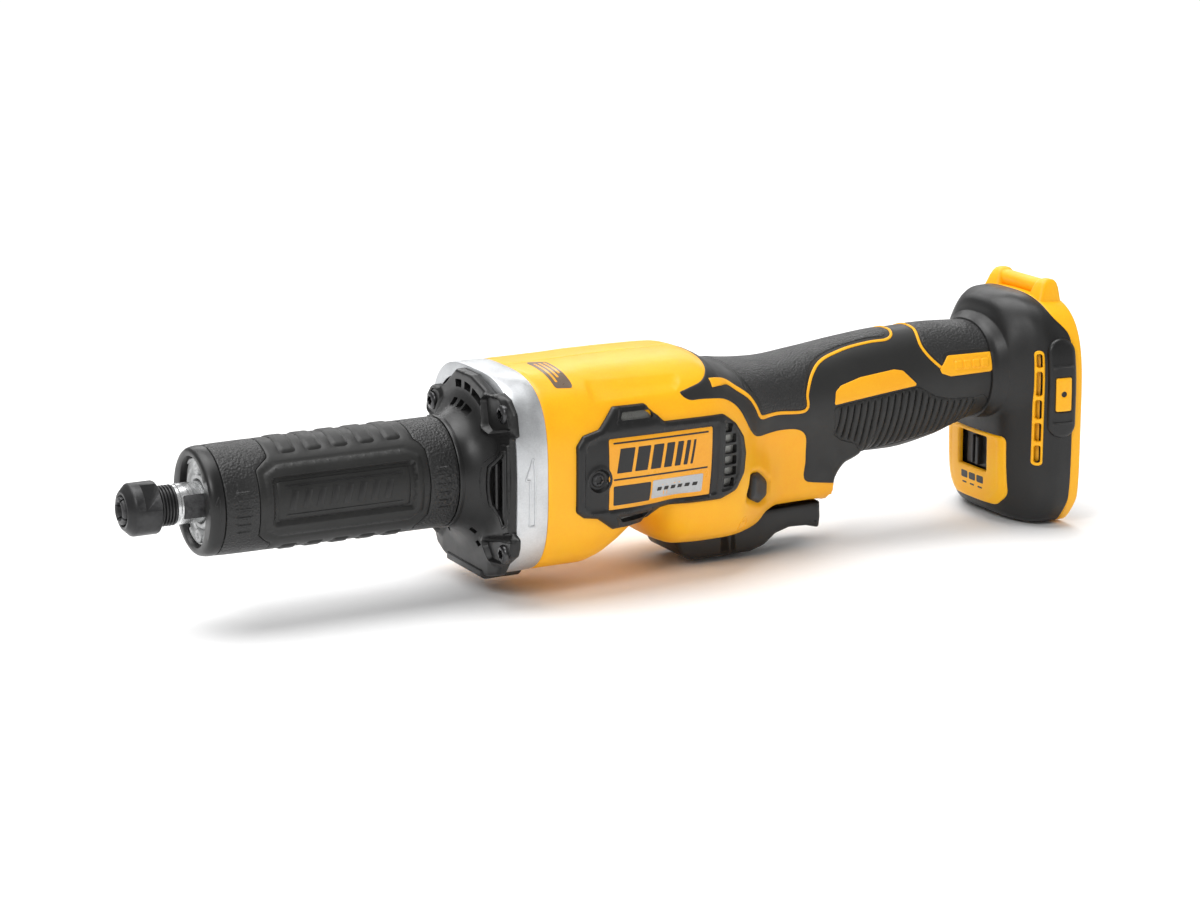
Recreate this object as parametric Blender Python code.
"""Cordless die grinder: bare tool with a slide-pack foot, long slim nose and paddle switch.

All dimensions are millimetres in a spindle frame: x = 0 at the tip of the collet and
growing towards the battery foot, y = 0 the mid-plane, z = 0 the spindle axis.  The root
empty shifts that frame so the object stands on z = 0 with its length centred on x = 0.
"""
import bpy
import bmesh
import math
from mathutils import Vector

MM = 0.001
LENGTH = 400.0
GAP = 0.3                # running or fitting gap between neighbouring pieces

for o in list(bpy.data.objects):
    bpy.data.objects.remove(o, do_unlink=True)

ROOT = bpy.data.objects.new("grinder_root", None)
bpy.context.scene.collection.objects.link(ROOT)
ROOT.location = (-LENGTH / 2 * MM, 0.0, 0.0)


# ------------------------------------------------------------------ materials
def material(name, rgb, rough, metal=0.0):
    m = bpy.data.materials.new(name)
    m.use_nodes = True
    b = m.node_tree.nodes["Principled BSDF"]
    b.inputs["Base Color"].default_value = (*rgb, 1.0)
    b.inputs["Roughness"].default_value = rough
    b.inputs["Metallic"].default_value = metal
    m.diffuse_color = (*rgb, 1.0)
    return m


YELLOW = material("yellow_nylon", (0.85, 0.47, 0.02), 0.42)
BLACK = material("black_nylon", (0.03, 0.03, 0.032), 0.5)
RUBBER = material("black_elastomer", (0.045, 0.045, 0.047), 0.75)
ALU = material("satin_aluminium", (0.72, 0.73, 0.74), 0.35, 1.0)
STEEL = material("bright_steel", (0.65, 0.65, 0.64), 0.25, 1.0)
OXIDE = material("black_oxide_steel", (0.05, 0.05, 0.055), 0.35, 0.8)
COPPER = material("copper_wire", (0.72, 0.33, 0.17), 0.35, 1.0)
IRON = material("laminated_iron", (0.28, 0.28, 0.29), 0.5, 0.9)
BRASS = material("brass_contact", (0.75, 0.55, 0.2), 0.3, 1.0)
MESH = material("filter_mesh", (0.33, 0.33, 0.33), 0.6, 0.3)
LABEL = material("label_film", (0.9, 0.42, 0.03), 0.35)


# ------------------------------------------------------------------ geometry helpers
def tidy(me):
    bm = bmesh.new()
    bm.from_mesh(me)
    bmesh.ops.remove_doubles(bm, verts=bm.verts, dist=2e-6)
    bmesh.ops.dissolve_degenerate(bm, edges=bm.edges, dist=2e-6)
    bmesh.ops.recalc_face_normals(bm, faces=bm.faces)
    bm.to_mesh(me)
    bm.free()


def solid(name, verts, faces, mat=None):
    me = bpy.data.meshes.new(name)
    me.from_pydata([Vector(v) * MM for v in verts], [], faces)
    tidy(me)
    o = bpy.data.objects.new(name, me)
    bpy.context.scene.collection.objects.link(o)
    if mat is not None:
        me.materials.append(mat)
    o.parent = ROOT
    return o


def boolean(a, b, op, drop=True):
    mod = a.modifiers.new("b", "BOOLEAN")
    mod.operation = op
    mod.solver = "EXACT"
    mod.object = b
    bpy.context.view_layer.update()
    dg = bpy.context.evaluated_depsgraph_get()
    me = bpy.data.meshes.new_from_object(a.evaluated_get(dg))
    a.modifiers.clear()
    mats = [m for m in a.data.materials]
    a.data = me
    me.materials.clear()
    for m in mats[:1]:
        me.materials.append(m)
    for p in me.polygons:
        p.material_index = 0
    tidy(me)
    if drop:
        bpy.data.objects.remove(b, do_unlink=True)
    return a


def cut(a, *bs, keep=False):
    for b in bs:
        boolean(a, b, "DIFFERENCE", drop=not keep)
    return a


def join(a, *bs):
    for b in bs:
        boolean(a, b, "UNION")
    return a


def common(a, b, keep=False):
    return boolean(a, b, "INTERSECT", drop=not keep)


def copy(o, name="tmp"):
    c = bpy.data.objects.new(name, o.data.copy())
    bpy.context.scene.collection.objects.link(c)
    c.parent = ROOT
    return c


def mirrored(o, name, mat=None):
    """A left-hand twin of o on the other side of the mid-plane."""
    me = o.data.copy()
    bm = bmesh.new()
    bm.from_mesh(me)
    for v in bm.verts:
        v.co.y = -v.co.y
    bmesh.ops.reverse_faces(bm, faces=bm.faces)
    bm.to_mesh(me)
    bm.free()
    c = bpy.data.objects.new(name, me)
    bpy.context.scene.collection.objects.link(c)
    c.parent = ROOT
    return c


def lathe(name, profile, mat=None, n=32, y=0.0, z=0.0, twist=0.0):
    """Closed profile of (x, r) turned about the X direction; r = 0 points become poles."""
    verts, rings = [], []
    for x, r in profile:
        if r < 1e-6:
            rings.append([len(verts)])
            verts.append((x, y, z))
        else:
            rings.append(list(range(len(verts), len(verts) + n)))
            for k in range(n):
                a = 2 * math.pi * k / n + twist
                verts.append((x, y + r * math.cos(a), z + r * math.sin(a)))
    faces = []
    m = len(profile)
    for i in range(m):
        a, b = rings[i], rings[(i + 1) % m]
        if len(a) == 1 and len(b) == 1:
            continue
        for k in range(n):
            k2 = (k + 1) % n
            if len(a) == 1:
                faces.append((a[0], b[k2], b[k]))
            elif len(b) == 1:
                faces.append((a[k], a[k2], b[0]))
            else:
                faces.append((a[k], a[k2], b[k2], b[k]))
    return solid(name, verts, faces, mat)


def prism(name, pts, axis, lo, hi, mat=None, taper=0.0):
    """Outline in the plane across `axis`, swept from lo to hi; taper shrinks the hi end."""
    cx = sum(p[0] for p in pts) / len(pts)
    cy = sum(p[1] for p in pts) / len(pts)

    def place(u, v, w):
        return {"x": (w, u, v), "y": (u, w, v), "z": (u, v, w)}[axis]

    verts = [place(u, v, lo) for u, v in pts]
    for u, v in pts:
        d = math.hypot(u - cx, v - cy) or 1.0
        k = (d - taper) / d
        verts.append(place(cx + (u - cx) * k, cy + (v - cy) * k, hi))
    n = len(pts)
    faces = [tuple(range(n)), tuple(range(2 * n - 1, n - 1, -1))]
    faces += [(i, i + n, (i + 1) % n + n, (i + 1) % n) for i in range(n)]
    return solid(name, verts, faces, mat)


def box(name, x0, x1, y0, y1, z0, z1, mat=None):
    return prism(name, [(x0, y0), (x1, y0), (x1, y1), (x0, y1)], "z", z0, z1, mat)


def round_rect(a0, a1, b0, b1, r, k=4):
    pts = []
    for ca, cb, t0 in ((a1 - r, b1 - r, 0), (a0 + r, b1 - r, 90), (a0 + r, b0 + r, 180), (a1 - r, b0 + r, 270)):
        for i in range(k + 1):
            t = math.radians(t0 + 90.0 * i / k)
            pts.append((ca + r * math.cos(t), cb + r * math.sin(t)))
    return pts


def grow(pts, d):
    """Offset a polygon outwards by d (inwards when negative)."""
    n = len(pts)
    area = sum(pts[i][0] * pts[(i + 1) % n][1] - pts[(i + 1) % n][0] * pts[i][1] for i in range(n))
    s = 1.0 if area > 0 else -1.0
    out = []
    for i in range(n):
        p0, p1, p2 = pts[i - 1], pts[i], pts[(i + 1) % n]
        a = Vector((p1[0] - p0[0], p1[1] - p0[1])).normalized()
        b = Vector((p2[0] - p1[0], p2[1] - p1[1])).normalized()
        na, nb = Vector((a.y, -a.x)), Vector((b.y, -b.x))
        m = na + nb
        if m.length < 1e-6:
            m = na
        m = m.normalized()
        k = d * s / max(0.5, m.dot(na))
        out.append((p1[0] + m.x * k, p1[1] + m.y * k))
    return out


def pchip(xs, ys, x):
    """Monotone cubic through (xs, ys)."""
    n = len(xs)
    if x <= xs[0]:
        return ys[0]
    if x >= xs[-1]:
        return ys[-1]
    h = [xs[i + 1] - xs[i] for i in range(n - 1)]
    d = [(ys[i + 1] - ys[i]) / h[i] for i in range(n - 1)]
    m = [d[0]] + [0.0 if d[i - 1] * d[i] <= 0 else 2 * d[i - 1] * d[i] / (d[i - 1] + d[i]) for i in range(1, n - 1)] + [d[-1]]
    i = max(k for k in range(n - 1) if xs[k] <= x)
    t = (x - xs[i]) / h[i]
    return ((2 * t ** 3 - 3 * t ** 2 + 1) * ys[i] + (t ** 3 - 2 * t ** 2 + t) * h[i] * m[i]
            + (-2 * t ** 3 + 3 * t ** 2) * ys[i + 1] + (t ** 3 - t ** 2) * h[i] * m[i + 1])


def section(x, zt, zb, w, n, m, off=0.0):
    zc, h, w = (zt + zb) / 2, (zt - zb) / 2 + off, w + off
    pts = []
    for k in range(m):
        t = 2 * math.pi * (k + 0.5) / m
        c, s = math.cos(t), math.sin(t)
        pts.append((x, w * math.copysign(abs(c) ** (2 / n), c), zc + h * math.copysign(abs(s) ** (2 / n), s)))
    return pts


def loft(name, st, xs, off=0.0, m=32, mat=None, x_off=(0.0, 0.0)):
    """Superellipse sections from the station table st sampled at xs, capped at both ends."""
    cols = list(zip(*st))
    verts, faces = [], []
    xs = list(xs)
    for i, x in enumerate(xs):
        v = [pchip(cols[0], cols[k], x) for k in range(1, 5)]
        xx = x + (x_off[0] if i == 0 else x_off[1] if i == len(xs) - 1 else 0.0)
        verts += section(xx, v[0], v[1], v[2], v[3], m, off)
    k = len(xs)
    for i in range(k - 1):
        for j in range(m):
            j2 = (j + 1) % m
            faces.append((i * m + j, i * m + j2, (i + 1) * m + j2, (i + 1) * m + j))
    faces.append(tuple(range(m - 1, -1, -1)))
    faces.append(tuple((k - 1) * m + j for j in range(m)))
    return solid(name, verts, faces, mat)


# ------------------------------------------------------------------ form of the body
# x, top z, bottom z, half width, exponent of the rounded section
BARREL = [(155, 38.6, -38.9, 38.0, 3.2), (175, 38.8, -38.9, 38.0, 3.2), (186, 39.1, -36.5, 37.9, 3.1),
          (196, 39.3, -30.0, 37.8, 3.0), (206, 39.4, -26.5, 37.5, 2.9), (218, 39.4, -22.5, 37.2, 2.8),
          (226, 39.2, -20.0, 36.8, 2.7), (232, 37.6, -18.0, 36.2, 2.6), (238, 34.0, -15.5, 34.8, 2.4),
          (244, 31.8, -12.5, 32.0, 2.3), (252, 30.6, -9.0, 27.0, 2.2), (260, 30.0, -8.0, 24.0, 2.2), (268, 29.8, -8.0, 22.6, 2.2),
          (287, 31.8, -9.5, 20.5, 2.2), (305, 34.2, -12.5, 19.5, 2.2), (325, 36.0, -13.0, 19.0, 2.2),
          (345, 36.4, -10.0, 19.0, 2.2), (362, 35.6, -4.5, 19.3, 2.2), (374, 34.8, -3.0, 19.6, 2.2)]
BARREL_X = [155.0, 178, 192, 206, 220, 229, 235, 241, 248, 256, 268, 287, 305, 325, 345, 360, 371.5]
SWITCH_BOX = [(204, 8, -29.5, 25.0, 2.6), (209, 8, -34.5, 30.0, 2.7), (215, 8, -36.9, 33.5, 2.9), (230, 8, -37.2, 35.0, 3.0),
              (240, 7, -37.2, 34.2, 3.0), (246, 6, -37.1, 31.6, 3.0), (252, 5, -36.7, 27.6, 3.0), (257, 4, -35.4, 24.0, 3.2),
              (262, 3, -31.9, 20.6, 3.4), (269, 3, -29.2, 17.9, 3.8), (285, 2, -28.9, 16.6, 4.0), (293, 0, -29.5, 15.4, 4.0),
              (297.5, -8, -29.6, 13.8, 4.0)]
BOX_X = [204.0, 209, 215, 232, 246, 252, 257, 262, 269, 285, 293, 297.5]
FOOT = [(372.5, 40.5, -39.5, 17.0, 3.4), (374.0, 43.2, -42.0, 20.3, 3.4), (378.0, 46.0, -45.2, 26.2, 3.5),
        (382.0, 46.8, -47.0, 31.6, 3.6), (386.0, 46.8, -47.8, 35.0, 3.6), (390.0, 46.5, -48.0, 36.2, 3.6),
        (400.0, 46.0, -48.0, 36.5, 3.6)]
WALL = 2.6


# ------------------------------------------------------------------ rotating line
spindle = lathe("spindle", [(8.2, 5.0), (8.2, 7.2), (9.0, 7.5), (22.0, 7.5), (34.0, 7.4), (38.4, 6.9),
                            (38.6, 6.0), (50.0, 6.0), (50.4, 7.0), (105.6, 7.0), (106.0, 5.0), (118.4, 5.0), (118.6, 4.0),
                            (127.4, 4.0), (127.4, 0), (25.0, 0), (25.0, 4.6)], STEEL, 20)
cut(spindle, box("c", 23.0, 33.0, -9, 9, 6.5, 9), box("c", 23.0, 33.0, -9, 9, -9, -6.5),
    box("c", 23.0, 33.0, -9, -6.5, -9, 9), box("c", 23.0, 33.0, 6.5, 9, -9, 9))

collet = lathe("collet", [(0.0, 3.05), (0.0, 4.7), (0.5, 5.3), (5.6, 5.4), (7.6, 4.7), (9.0, 4.4), (24.4, 4.1), (24.4, 3.05)], STEEL, 24)
cut(collet, box("c", -1.0, 15.0, -0.4, 0.4, -7, 7), box("c", -1.0, 15.0, -7, 7, -0.4, 0.4))

collet_nut = lathe("collet_nut", [(3.4, 5.8), (3.4, 7.3), (5.4, 9.3), (6.0, 9.5), (15.8, 9.5), (16.5, 8.9), (16.5, 7.9), (7.9, 7.9), (5.9, 5.8)], OXIDE, 24)
for k in range(6):
    a = math.radians(60 * k + 30)
    c, s = math.cos(a), math.sin(a)
    q = [(8.5 * c + 8 * s, 8.5 * s - 8 * c), (14 * c + 8 * s, 14 * s - 8 * c), (14 * c - 8 * s, 14 * s + 8 * c), (8.5 * c - 8 * s, 8.5 * s + 8 * c)]
    cut(collet_nut, prism("c", q, "x", 9.2, 15.9))

shaft_coupling = lathe("shaft_coupling", [(120.0, 4.3), (120.0, 7.8), (120.8, 8.5), (135.2, 8.5), (136.0, 7.8), (136.0, 4.3)], OXIDE, 20)
rotor_core = lathe("rotor_core", [(128.2, 0), (128.2, 3.6), (128.6, 4.0), (150.0, 4.0), (150.0, 13.0), (184.0, 13.0), (184.0, 4.0), (208.0, 4.0), (208.0, 0)], IRON, 20)
cooling_fan = lathe("cooling_fan", [(191.5, 4.3), (191.5, 9.0), (197.0, 27.0), (198.6, 27.0), (198.6, 4.3)], BLACK, 20)
for k in range(8):
    a = 2 * math.pi * k / 8
    c, s = math.cos(a), math.sin(a)
    q = [(8 * c + 0.7 * s, 8 * s - 0.7 * c), (26.4 * c + 0.7 * s, 26.4 * s - 0.7 * c), (26.4 * c - 0.7 * s, 26.4 * s + 0.7 * c), (8 * c - 0.7 * s, 8 * s + 0.7 * c)]
    join(cooling_fan, prism("c", q, "x", 191.8, 197.6))

# ------------------------------------------------------------------ bearings and stator
def ring(name, x0, x1, r0, r1, mat, n=20):
    return lathe(name, [(x0, r0), (x0, r1), (x1, r1), (x1, r0)], mat, n)


ring("front_bearing", 39.0, 50.0, 6.3, 15.9, STEEL)
ring("spindle_rear_bearing", 107.0, 118.0, 5.3, 15.9, STEEL)
ring("rotor_front_bearing", 139.0, 146.0, 4.3, 11.0, STEEL)
ring("rotor_rear_bearing", 201.0, 207.0, 4.3, 9.5, STEEL)

stator_core = lathe("stator_core", [(150.5, 13.6), (150.5, 29.6), (183.5, 29.6), (183.5, 13.6)], IRON, 30)
for k in range(6):
    a = math.radians(60 * k + 30)
    c, s = math.cos(a), math.sin(a)
    q = [(12 * c + 1.2 * s, 12 * s - 1.2 * c), (24 * c + 3.4 * s, 24 * s - 3.4 * c), (24 * c - 3.4 * s, 24 * s + 3.4 * c), (12 * c - 1.2 * s, 12 * s + 1.2 * c)]
    cut(stator_core, prism("c", q, "x", 149.0, 185.0))
ring("stator_winding_front", 146.6, 150.1, 15.2, 25.5, COPPER, 24)
ring("stator_winding_rear", 183.9, 189.6, 15.2, 25.5, COPPER, 24)

# ------------------------------------------------------------------ nose
bearing_retainer = lathe("bearing_retainer", [(34.0, 8.2), (34.0, 17.9), (37.6, 17.9), (37.6, 8.2)], ALU, 28)
cut(bearing_retainer, lathe("c", [(33, 0), (33, 2.0), (39, 2.0), (39, 0)], None, 12, 0, 13.2),
    lathe("c", [(33, 0), (33, 2.0), (39, 2.0), (39, 0)], None, 12, 0, -13.2))

nose_collar = lathe("nose_collar", [(28.0, 0), (28.0, 17.6), (28.9, 19.2), (33.4, 20.5), (33.4, 0)], BLACK, 32)
oval = [(12.0 * math.copysign(abs(math.cos(t)) ** 0.8, math.cos(t)), 17.3 * math.copysign(abs(math.sin(t)) ** 0.8, math.sin(t)))
        for t in (2 * math.pi * (k + 0.5) / 24 for k in range(24))]
cut(nose_collar, prism("c", oval, "x", 27.0, 34.5))

spindle_tube = lathe("spindle_tube", [(38.0, 16.3), (38.0, 18.3), (127.2, 18.3), (127.2, 16.3)], ALU, 32)

grip_boot = lathe("grip_boot", [(33.8, 18.7), (33.8, 20.5), (52.0, 20.9), (52.6, 20.4), (53.4, 20.4), (54.0, 20.9), (111.0, 21.0),
                                (111.6, 20.5), (112.4, 20.5), (113.0, 21.0), (126.3, 21.1), (126.3, 18.7)], RUBBER, 32)
for s in (-1, 1):
    cut(grip_boot, box("c", 56.0, 109.0, *sorted((s * 20.2, s * 24.0)), -7.5, 7.5))
for x in (60.0, 80.0, 100.0):
    for s in (-1, 1):
        w = prism("c", [(x, -5.5), (x + 4.0, -5.5), (x + 5.0, 5.5), (x + 1.0, 5.5)], "z", *sorted((s * 18.9, s * 21.5)))
        join(grip_boot, w)

# ------------------------------------------------------------------ vent housing and motor ring
NECK = [(126.6, 21.3, -21.3, 21.3, 2.0), (128.5, 22.0, -22.0, 22.0, 2.0), (131.0, 24.4, -24.4, 24.0, 2.1), (134.0, 30.5, -30.8, 29.5, 2.4),
        (136.5, 35.6, -36.8, 35.0, 2.8), (138.0, 37.0, -38.4, 36.6, 3.0), (142.0, 37.6, -39.2, 37.6, 3.1)]
vent_housing = loft("vent_housing", NECK, [126.6, 131, 134, 136.5, 138, 142], m=32, mat=BLACK)
SCREWS = [(-31.0, 27.0), (31.0, 27.0), (31.0, -26.0), (-31.0, -26.0)]
for y, z in SCREWS:
    s = 1 if y > 0 else -1
    t = 1 if z > 0 else -1
    lobe = [(s * 24, t * 34.6), (s * 31, t * 34.2), (s * 36, t * 32.0), (s * 39.4, t * 27.6), (s * 40.4, t * 22.0), (s * 39.6, t * 17.5), (s * 30, t * 15)]
    join(vent_housing, prism("c", lobe, "x", 137.6, 142.0))
cut(vent_housing, lathe("c", [(120, 0), (120, 18.7), (128.6, 18.7), (131.0, 20.6), (139.4, 31.5), (145, 31.5), (145, 0)], None, 32))
for s in (-1, 1):
    for x0, x1, za, zb in ((16.5, 21.5, -10, 8), (23.5, 28.0, -12.5, 12), (30.0, 34.6, -15, 14)):
        cut(vent_housing, prism("c", [(s * x0, za), (s * x1, za - 1.5), (s * x1, zb + 1.5), (s * x0, zb)], "x", 128.0, 150.0))
for r0, r1, a0, a1 in ((24.5, 27.5, 60, 120), (31.0, 34.4, 68, 112)):
    arc = [(r1 * math.cos(math.radians(a0 + (a1 - a0) * k / 5)), r1 * math.sin(math.radians(a0 + (a1 - a0) * k / 5))) for k in range(6)]
    arc += [(r0 * math.cos(math.radians(a1 - (a1 - a0) * k / 5)), r0 * math.sin(math.radians(a1 - (a1 - a0) * k / 5))) for k in range(6)]
    cut(vent_housing, prism("c", arc, "x", 120.0, 140.6))
for i, (y, z) in enumerate(SCREWS):
    cut(vent_housing, lathe("c", [(120, 0), (120, 4.3), (139.0, 4.3), (139.0, 0)], None, 12, y, z),
        lathe("c", [(130, 0), (130, 2.2), (150, 2.2), (150, 0)], None, 8, y, z))

motor_ring = loft("motor_ring", [(142.3, 38.4, -39.0, 38.0, 3.2), (154.7, 38.6, -38.9, 38.0, 3.2)], [142.3, 154.7], m=32, mat=ALU)
cut(motor_ring, lathe("c", [(140, 0), (140, 31.5), (158, 31.5), (158, 0)], None, 32))
for i, (y, z) in enumerate(SCREWS):
    cut(motor_ring, lathe("c", [(140, 0), (140, 2.2), (151.0, 2.2), (151.0, 0)], None, 8, y, z))
    sc = lathe("housing_screw_%d" % (i + 1), [(136.2, 0), (136.2, 3.2), (136.8, 3.7), (138.7, 3.7), (138.7, 1.8), (150.0, 1.8), (150.0, 0)], OXIDE, 12, y, z)
    cut(sc, prism("c", [(y + 1.5 * math.cos(math.radians(a)), z + 1.5 * math.sin(math.radians(a))) for a in range(0, 360, 60)], "x", 135.0, 137.6))

# ------------------------------------------------------------------ body shells
def body_solid(name, off, x_lo=0.0, x_hi=0.0):
    a = loft(name, BARREL, BARREL_X, off, 24, x_off=(x_lo, x_hi))
    b = loft("c", SWITCH_BOX, BOX_X, off, 16, x_off=(-off, off))
    return join(a, b)


shell = body_solid("shell", 0.0)
cut(shell, body_solid("c", -WALL, 2.5, 3.0))
cut(shell, lathe("c", [(150, 0), (150, 32.0), (160, 32.0), (160, 0)], None, 32))

# paddle opening in the underside of the switch box
def plan(d):
    return [(216.6 - d, -14.0 - d), (262.0, -14.0 - d), (291.6 + d, -11.2 - d), (291.6 + d, 11.2 + d), (262.0, 14.0 + d), (216.6 - d, 14.0 + d)]


cut(shell, prism("c", plan(0.5), "z", -50, -22))

POD = [(168.0, -14.6), (168.0, 15.4), (170.0, 17.2), (176.0, 18.4), (182.4, 26.2), (195.6, 26.4), (204.4, 18.8), (229.0, 18.8),
       (235.5, 15.0), (239.0, 8.0), (240.2, 1.0), (239.0, -6.5), (234.5, -12.4), (229.0, -14.0), (205.4, -15.6), (197.0, -21.2), (183.0, -21.2), (176.4, -15.8), (170.0, -15.8)]
LOCK = (250.0, -15.0)
keep_out = body_solid("keep_out", -WALL + 0.0, 2.5, 3.0)
pod = prism("filter_cover_right", POD, "y", 22.0, 38.4, BLACK, 1.2)
cut(pod, keep_out, keep=True)
for s in (-1, 1):
    cut(shell, prism("c", grow(POD, GAP), "y", *sorted((s * 20.0, s * 45.0))))
for s in (-1,):
    cut(shell, prism("c", [(LOCK[0] + 5.3 * math.cos(math.radians(a)), LOCK[1] + 5.3 * math.sin(math.radians(a))) for a in range(0, 360, 24)], "y", *sorted((s * 11.0, s * 45.0))))

# overmoulded handle pads, 1.5 mm deep in pockets of the shells
PALM = [(250.0, 45.0), (249.5, 22.5), (259.0, 17.0), (264.0, 9.0), (268.0, 6.5), (280.0, 8.0), (284.0, 10.0), (286.5, 20.0),
        (294.0, 25.0), (310.0, 28.0), (318.5, 30.0), (319.5, 45.0)]
SIDE = [(292.0, 14.0), (296.5, 18.0), (308.0, 20.5), (322.0, 21.5), (329.0, 15.5), (340.0, 13.0), (356.0, 13.2), (361.0, 9.0),
        (361.0, -16.0), (298.0, -20.0), (292.5, -7.0)]
REAR = [(331.5, 45.0), (332.5, 31.0), (340.0, 24.5), (346.0, 21.5), (368.0, 22.5), (368.0, 45.0)]


def band(name, outline, y0, y1, inner, outer, mat=None):
    b = prism(name, outline, "y", y0, y1, mat)
    common(b, loft("c", BARREL, BARREL_X, outer, 24, x_off=(-1.0, 1.0)))
    cut(b, loft("c", BARREL, BARREL_X, inner, 24, x_off=(-3.0, 3.0)))
    return b


for outline in (PALM, REAR):
    cut(shell, band("c", grow(outline, 0.25), -50, 50, -1.8, 2.0))
for s in (-1, 1):
    cut(shell, band("c", grow(SIDE, 0.25), *sorted((s * 4.0, s * 50.0)), -1.8, 2.0))

shell_r = copy(shell, "housing_right")
cut(shell, box("c", 100, 420, -0.15, 90, -90, 90))
shell.name = "housing_left"
cut(shell_r, box("c", 100, 420, -90, 0.15, -90, 90))
for h in (shell, shell_r):
    h.data.materials.clear()
    h.data.materials.append(YELLOW)

band("palm_grip", PALM, -50, 50, -1.5, 0.5, RUBBER)
band("rear_grip", REAR, -50, 50, -1.5, 0.3, RUBBER)
side = band("handle_grip_right", SIDE, 4.3, 50, -1.5, 0.5, RUBBER)
for x in (299.3, 308.3, 317.3, 328.3, 337.3, 347.3):
    cut(side, box("c", x, x + 3.0, 16.3, 26, -5.3, 8.4))
left = mirrored(side, "handle_grip_left")

# ------------------------------------------------------------------ side filter covers
for x0, x1, z0, z1 in ((185.0, 198.5, 20.6, 24.0), (185.0, 198.5, -18.6, -16.2)):
    cut(pod, box("c", x0, x1, 15, 45, z0, z1))
for k in range(5):
    cut(pod, box("c", 230.6, 236.2, 15, 45, -8.6 + 4.5 * k, -5.4 + 4.5 * k))
cut(pod, prism("c", round_rect(179.6, 226.2, -13.2, 14.6, 1.0, 2), "y", 37.2, 45),
    prism("c", [(174.4 + 3.2 * math.cos(math.radians(a)), -0.9 + 3.2 * math.sin(math.radians(a))) for a in range(0, 360, 30)], "y", 36.2, 45))
mirrored(pod, "filter_cover_left")
plate = prism("name_plate_right", round_rect(179.9, 225.9, -12.9, 14.3, 0.8, 2), "y", 37.45, 38.2, LABEL)
mirrored(plate, "name_plate_left")
screw = prism("cover_screw_right", [(174.4 + 2.7 * math.cos(math.radians(a)), -0.9 + 2.7 * math.sin(math.radians(a))) for a in range(0, 360, 30)], "y", 36.4, 37.8, OXIDE)
cut(screw, prism("c", [(174.4 + 1.2 * math.cos(math.radians(a)), -0.9 + 1.2 * math.sin(math.radians(a))) for a in range(0, 360, 60)], "y", 37.1, 39))
mirrored(screw, "cover_screw_left")
mesh_r = prism("filter_mesh_right", round_rect(184.0, 199.0, 20.0, 24.5, 0.5, 1), "y", 28.0, 28.8, MESH)
mirrored(mesh_r, "filter_mesh_left")

# ------------------------------------------------------------------ paddle, switch, lock button
PADDLE = [(214.4, -37.2), (215.4, -40.2), (218.4, -43.6), (223.0, -45.8), (230.0, -46.4), (258.4, -46.0), (263.4, -44.4), (267.4, -41.6),
          (272.0, -40.0), (280.0, -39.9), (287.4, -41.2), (291.0, -42.4), (291.6, -41.4), (291.6, -30.2), (285.0, -29.0), (270.0, -28.7),
          (264.4, -30.4), (260.0, -33.4), (256.0, -36.0), (247.0, -37.3)]
paddle = prism("paddle", PADDLE, "y", -14.0, 14.0, BLACK)
common(paddle, prism("c", [(210.0, -14.2), (262.0, -14.2), (292.0, -11.2), (292.0, 11.2), (262.0, 14.2), (210.0, 14.2)], "z", -60, -10))
cut(paddle, prism("c", [(218.0, -30.0), (218.0, -42.2), (224.0, -44.2), (257.6, -44.0), (262.6, -42.2), (267.0, -39.4), (271.0, -38.0), (289.4, -38.4), (289.4, -20.0)], "y", -9.4, 9.4))
web = prism("c", [(217.0, -43.0), (217.0, -30.2), (219.6, -27.4), (224.6, -27.4), (227.5, -31.0), (250.0, -34.0), (252.0, -27.4), (258.0, -27.4), (262.0, -41.0)], "y", -3.6, 3.6)
join(paddle, web)
cut(paddle, prism("c", [(222.0 + 1.8 * math.cos(math.radians(a)), -31.0 + 1.8 * math.sin(math.radians(a))) for a in range(0, 360, 24)], "y", -8, 8))
prism("paddle_pivot_pin", [(222.0 + 1.5 * math.cos(math.radians(a)), -31.0 + 1.5 * math.sin(math.radians(a))) for a in range(0, 360, 30)], "y", -11.0, 11.0, STEEL)


def spring(name, p, axis, length, radius, wire, turns, mat, seg=10, k=5):
    verts, faces = [], []
    n = int(turns * seg) + 1
    for i in range(n):
        t = i / (n - 1)
        a = 2 * math.pi * turns * t
        c = (radius * math.cos(a), radius * math.sin(a), length * t)
        for j in range(k):
            b = 2 * math.pi * j / k
            r = radius + wire * math.cos(b)
            q = (r * math.cos(a), r * math.sin(a), c[2] + wire * math.sin(b))
            q = {"z": q, "y": (q[0], q[2], q[1]), "x": (q[2], q[0], q[1])}[axis]
            verts.append((p[0] + q[0], p[1] + q[1], p[2] + q[2]))
    for i in range(n - 1):
        for j in range(k):
            faces.append((i * k + j, i * k + (j + 1) % k, (i + 1) * k + (j + 1) % k, (i + 1) * k + j))
    faces += [tuple(range(k)), tuple(range(n * k - 1, n * k - 1 - k, -1))]
    return solid(name, verts, faces, mat)


spring("paddle_spring", (240.0, 0.0, -31.6), "z", 7.0, 3.0, 0.5, 4, STEEL)
switch = box("switch_module", 230.0, 270.0, -9.5, 9.5, -23.5, -3.5, BLACK)
cut(switch, box("c", 252.6, 257.4, -2.4, 2.4, -30.0, -13.0))
box("switch_plunger", 253.0, 257.0, -2.0, 2.0, -27.0, -17.0, BRASS)

cap = prism("lock_button", [(LOCK[0] + 4.8 * math.cos(math.radians(a)), LOCK[1] + 4.8 * math.sin(math.radians(a))) for a in range(0, 360, 24)], "y", -28.6, -13.8, BLACK, 0.0)
spring("lock_spring", (LOCK[0], -13.0, LOCK[1]), "y", 2.4, 2.6, 0.4, 2, STEEL)

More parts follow.
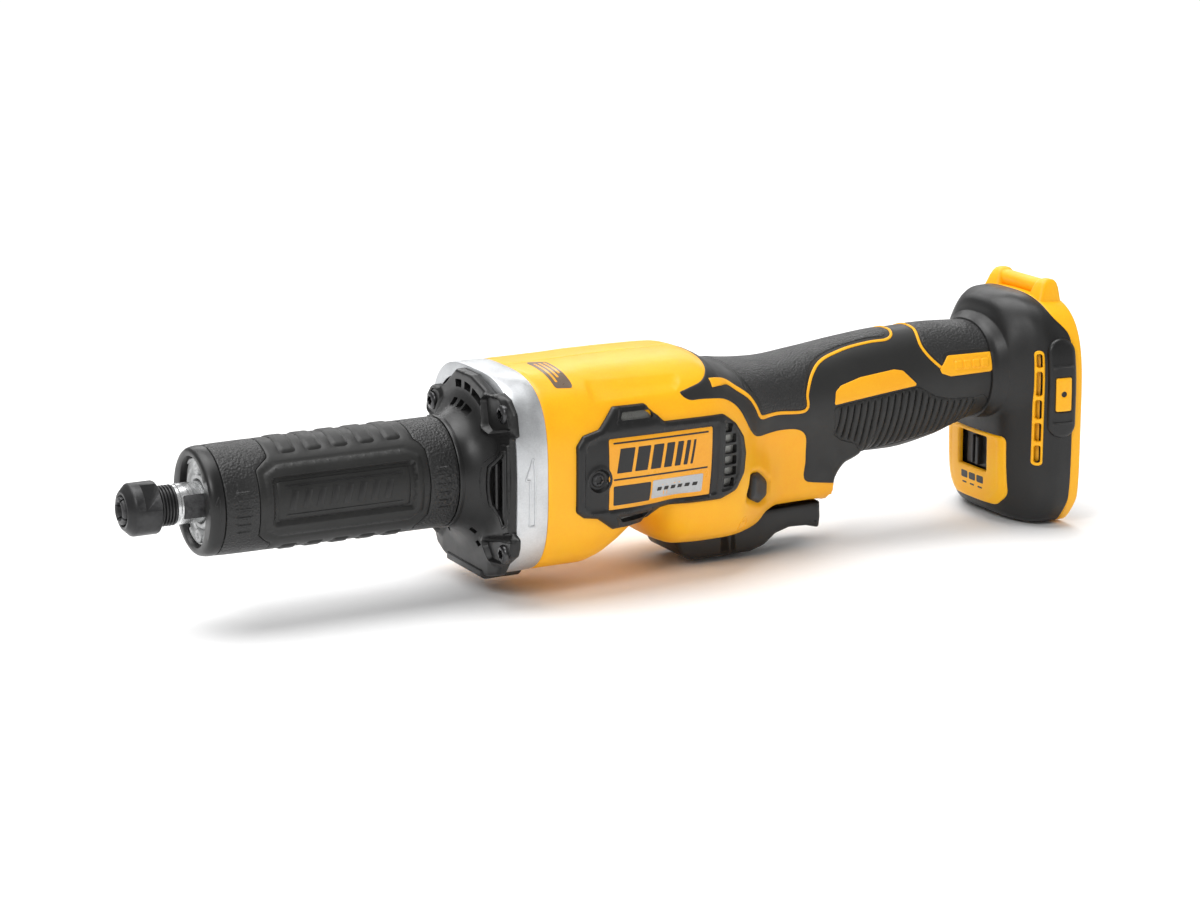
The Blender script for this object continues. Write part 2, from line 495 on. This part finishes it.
control = box("control_module", 300.0, 352.0, -11.0, 11.0, 2.0, 18.0, ALU)
for k in range(6):
    cut(control, box("c", 304.0 + 8 * k, 308.0 + 8 * k, -12, 12, 13.0, 19.0))

# ------------------------------------------------------------------ foot
FOOT_X = [372.5, 374.5, 379, 384, 388.5, 395.0]
foot = loft("foot_shell", FOOT, FOOT_X, m=28, mat=BLACK)
cut(foot, loft("c", FOOT, [372.5, 374.5, 379, 384, 388.5, 400], -2.4, 28, x_off=(2.6, 0.0)))
cut(foot, prism("c", [(y, z) for _, y, z in section(0, 34.8, -3.0, 17.0, 2.2, 20)], "x", 360, 380))
PANEL = [(-19.0, -11.0), (-17.0, -9.6), (17.0, -9.6), (19.0, -11.0), (19.0, -33.0), (14.5, -38.6), (-14.5, -38.6), (-19.0, -33.0)]
cut(foot, prism("c", grow(PANEL, GAP), "x", 360, 380))
for s in (-1, 1):
    cut(foot, prism("c", round_rect(377.8, 382.2, -20.0, 27.8, 2.1, 2), "y", *sorted((s * 10.0, s * 45.0))),
        prism("c", round_rect(383.2, 394.4, -8.6, 31.0, 5.0, 3), "y", *sorted((s * 35.2, s * 45.0))))
bezel = prism("speed_bezel", PANEL, "x", 372.2, 374.9, YELLOW)
cut(bezel, prism("c", round_rect(-9.7, 9.7, -27.0, -12.4, 1.0, 2), "x", 371, 376))
slider = box("speed_slider", 371.6, 374.6, -3.6, 3.6, -26.2, -13.2, BLACK)
for k in range(3):
    cut(slider, box("c", 371.0, 372.2, -2.6 + 2.0 * k, -1.6 + 2.0 * k, -27, -12))

vent_r = prism("foot_vent_right", round_rect(378.1, 381.9, -19.7, 27.5, 1.8, 2), "y", 24.0, 32.4, YELLOW)
cut(vent_r, loft("c", FOOT, [372.5, 374.5, 379, 384, 388.5, 400], -2.2, 28, x_off=(2.6, 0.0)))
for k in range(5):
    cut(vent_r, box("c", 379.0, 381.0, 15, 40, -18.0 + 9.2 * k, -10.6 + 9.2 * k))
mirrored(vent_r, "foot_vent_left")
cover = prism("chip_cover_right", round_rect(383.5, 394.1, -8.3, 30.7, 4.7, 3), "y", 35.4, 37.8, RUBBER)
cut(cover, prism("c", round_rect(386.0, 393.0, 2.2, 15.8, 1.0, 2), "y", 36.8, 39))
mirrored(cover, "chip_cover_left")
ins = prism("chip_insert_right", round_rect(386.3, 392.7, 2.5, 15.5, 0.8, 2), "y", 37.0, 38.0, YELLOW)
mirrored(ins, "chip_insert_left")

frame = loft("foot_rear_frame", FOOT, [395.3, 400.0], m=28, mat=YELLOW)
cut(frame, prism("c", [(-26.0, -60.0), (26.0, -60.0), (26.0, 28.0), (22.0, 33.0), (-22.0, 33.0), (-26.0, 28.0)], "x", 390, 405))
EAR = [(391.5, 44.0), (400.0, 43.5), (400.0, 50.0), (398.6, 53.0), (394.6, 53.0), (392.6, 50.5)]
for s in (-1, 1):
    join(frame, prism("c", [(395.4, 43.0)] + EAR[1:] + [(392.6, 47.6), (395.4, 46.8)], "y", *sorted((s * 8.0, s * 18.5))))
cut(frame, prism("c", [(396.6 + 2.0 * math.cos(math.radians(a)), 49.6 + 2.0 * math.sin(math.radians(a))) for a in range(0, 360, 30)], "y", -14.0, 14.0))
prism("lanyard_pin", [(396.6 + 1.7 * math.cos(math.radians(a)), 49.6 + 1.7 * math.sin(math.radians(a))) for a in range(0, 360, 30)], "y", -13.6, 13.6, YELLOW)

deck = prism("battery_deck", [(y, z) for _, y, z in section(0, 43.2, -44.8, 33.2, 3.6, 28)], "x", 389.0, 391.0, BLACK)
cut(deck, box("c", 380, 400, -14.3, 14.3, -16.3, 20.3))
block = box("terminal_block", 384.0, 397.0, -14.0, 14.0, -16.0, 20.0, BLACK)
for y in (-10.0, -3.4, 3.4, 10.0):
    cut(block, box("c", 386.0, 398.0, y - 1.3, y + 1.3, -17.0, 14.0))
box("terminal_positive", 386.6, 396.0, -10.5, -9.5, -13.0, 13.6, BRASS)
box("terminal_negative", 386.6, 396.0, 9.5, 10.5, -13.0, 13.6, BRASS)

bpy.data.objects.remove(keep_out, do_unlink=True)
MATERIAL_OF = {"filter_cover_left": BLACK, "name_plate_left": LABEL, "cover_screw_left": OXIDE, "filter_mesh_left": MESH,
               "foot_vent_left": YELLOW, "chip_cover_left": RUBBER, "chip_insert_left": YELLOW, "handle_grip_left": RUBBER}
for o in bpy.data.objects:
    if o.type == "MESH":
        o.data.name = o.name
        if o.name in MATERIAL_OF:
            o.data.materials.clear()
            o.data.materials.append(MATERIAL_OF[o.name])

# the lowest point of the tool rests on z = 0
lowest = min(v.co.z for o in bpy.data.objects if o.type == "MESH" for v in o.data.vertices)
ROOT.location.z = -lowest
